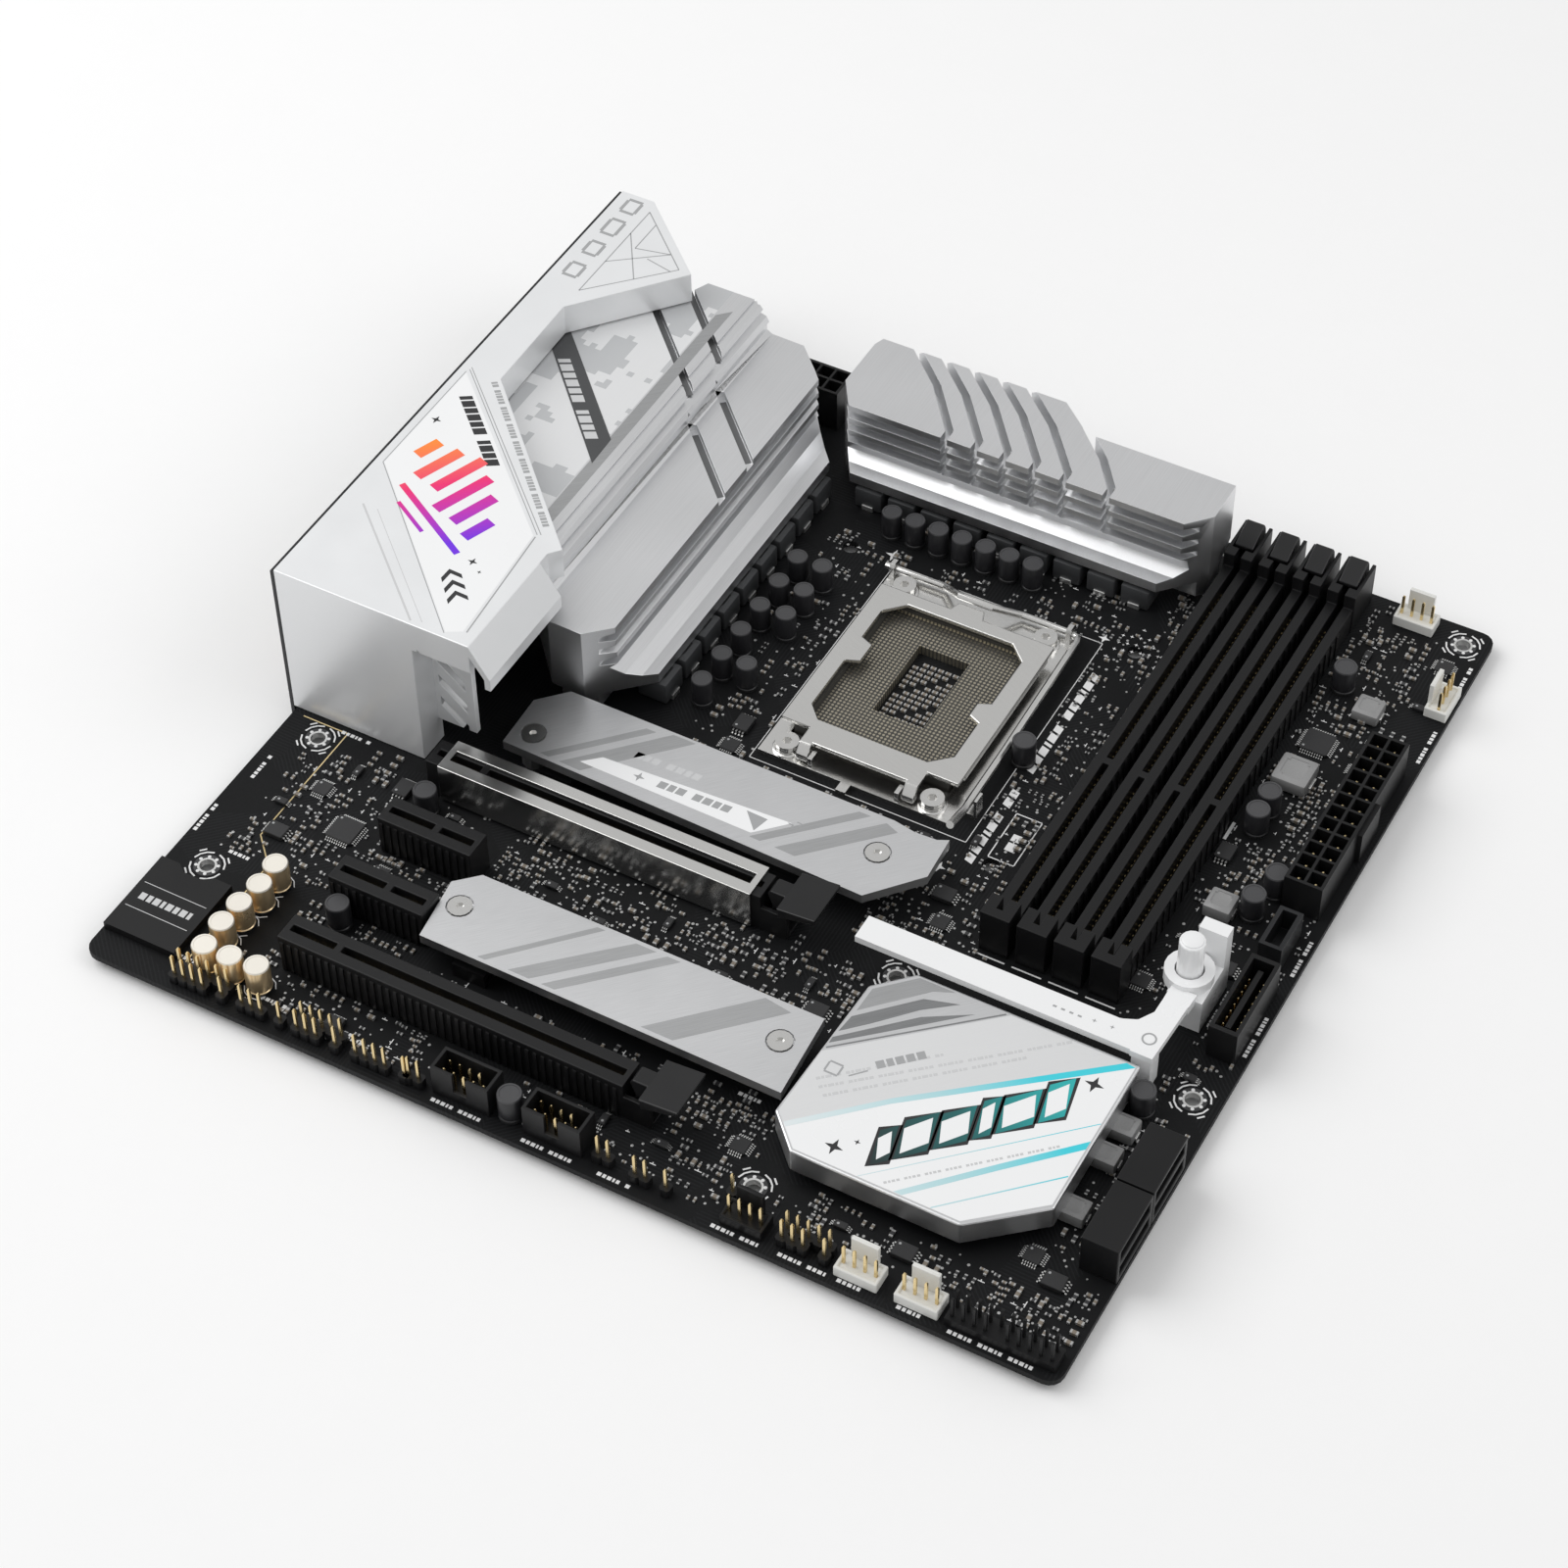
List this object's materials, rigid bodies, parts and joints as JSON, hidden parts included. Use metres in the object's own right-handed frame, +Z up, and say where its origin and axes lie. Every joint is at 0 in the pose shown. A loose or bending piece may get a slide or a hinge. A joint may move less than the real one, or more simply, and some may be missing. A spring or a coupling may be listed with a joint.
{
  "type": "computer motherboard",
  "caption": "Square computer motherboard with processor socket, memory and expansion slots, finned heatsinks, covers and rear connectors.",
  "frame": {"origin": "centre of the bounding box's base", "axes": "+X from the rear connectors to the front edge, +Y from the slot edge to the processor-power edge, +Z up from the component face"},
  "size_m": [0.2532, 0.245, 0.0488],
  "materials": {
    "board_laminate": "matte black solder mask",
    "black_plastic": "satin moulded",
    "contact_bed": "moulded, with contacts",
    "dark_metal": "dark plated",
    "steel": "bright nickel plate",
    "silver_aluminium": "fine brushed, anodised",
    "pale_shell": "satin silver-white paint",
    "white_plastic": "glossy moulded"
  },
  "bodies": {
    "board": {"pcb": "board_laminate", "cpu_back_plate": "dark_metal", "cpu_socket": "contact_bed", "socket_frame": "steel", "socket_screw_1": "steel", "socket_screw_2": "steel", "socket_screw_3": "steel", "socket_screw_4": "steel", "dimm_slot_1": "black_plastic", "dimm_slot_2": "black_plastic", "dimm_slot_3": "black_plastic", "dimm_slot_4": "black_plastic", "pcie_slot_long_1": "black_plastic", "pcie_slot_long_2": "black_plastic", "pcie_slot_short_1": "black_plastic", "pcie_slot_short_2": "black_plastic", "slot_shield": "steel", "m2_cover_1": "silver_aluminium", "m2_cover_2": "silver_aluminium", "cover_screw_1": "dark_metal", "cover_screw_2": "dark_metal", "cover_screw_3": "dark_metal", "cover_screw_4": "dark_metal", "m2_socket_1": "black_plastic", "m2_socket_2": "black_plastic", "chipset_package": "dark_metal", "chipset_heatsink": "silver_aluminium", "release_housing": "white_plastic", "heatsink_left": "silver_aluminium", "heatsink_top": "silver_aluminium", "io_shroud": "pale_shell", "rear_plate": "dark_metal", "audio_jacks": "black_plastic", "antenna_module": "steel", "lan_port": "steel", "usb_stack_1": "steel", "usb_stack_2": "steel", "video_ports": "steel", "flash_switch": "black_plastic", "power_main": "black_plastic", "power_cpu": "black_plastic", "usb_c_header": "steel", "usb3_header": "black_plastic", "drive_block_1": "black_plastic", "drive_block_2": "black_plastic", "usb2_header_1": "black_plastic", "usb2_header_2": "black_plastic", "front_panel_header": "black_plastic", "audio_cover": "black_plastic"},
    "load_plate": {"load_plate": "steel"},
    "load_lever": {"load_lever": "steel"},
    "memory_latch_1": {"dimm_latch_1": "black_plastic"},
    "memory_latch_2": {"dimm_latch_2": "black_plastic"},
    "memory_latch_3": {"dimm_latch_3": "black_plastic"},
    "memory_latch_4": {"dimm_latch_4": "black_plastic"},
    "upper_slot_latch": {"slot_latch_1": "black_plastic"},
    "lower_slot_latch": {"slot_latch_2": "black_plastic"},
    "release_button": {"release_button": "white_plastic"},
    "flash_button": {"flash_button": "dark_metal"}
  },
  "joints": [
    {"name": "load_plate_hinge", "type": "hinge", "parent": "board", "child": "load_plate", "pos_m": [0.01238, 0.00458, 0.007], "axis": [1, 0, 0], "range_deg": [0, 100]},
    {"name": "load_lever_hinge", "type": "hinge", "parent": "board", "child": "load_lever", "pos_m": [0.01238, 0.07087, 0.007], "axis": [-1, 0, 0], "range_deg": [0, 125]},
    {"name": "memory_latch_hinge_1", "type": "hinge", "parent": "board", "child": "memory_latch_1", "pos_m": [0.06368, 0.11638, 0.0074], "axis": [-1, 0, 0], "range_deg": [0, 28]},
    {"name": "memory_latch_hinge_2", "type": "hinge", "parent": "board", "child": "memory_latch_2", "pos_m": [0.07278, 0.11638, 0.0074], "axis": [-1, 0, 0], "range_deg": [0, 28]},
    {"name": "memory_latch_hinge_3", "type": "hinge", "parent": "board", "child": "memory_latch_3", "pos_m": [0.08188, 0.11638, 0.0074], "axis": [-1, 0, 0], "range_deg": [0, 28]},
    {"name": "memory_latch_hinge_4", "type": "hinge", "parent": "board", "child": "memory_latch_4", "pos_m": [0.09098, 0.11638, 0.0074], "axis": [-1, 0, 0], "range_deg": [0, 28]},
    {"name": "release_button_slide", "type": "slide", "parent": "board", "child": "release_button", "axis": [0, 0, -1], "range_m": [0, 0.003], "stiffness_N_per_m": 300},
    {"name": "upper_slot_latch_hinge", "type": "hinge", "parent": "board", "child": "upper_slot_latch", "pos_m": [0.01738, -0.04093, 0.0068], "axis": [0, 1, 0], "range_deg": [0, 26]},
    {"name": "lower_slot_latch_hinge", "type": "hinge", "parent": "board", "child": "lower_slot_latch", "pos_m": [0.01738, -0.10172, 0.0068], "axis": [0, 1, 0], "range_deg": [0, 30]},
    {"name": "flash_button_slide", "type": "slide", "parent": "board", "child": "flash_button", "axis": [1, 0, 0], "range_m": [0, 0.0014], "stiffness_N_per_m": 400}
  ],
  "couplings": [
    {"joint": "upper_slot_latch_hinge", "follows": "release_button_slide", "rad_per_m": 150}
  ]
}
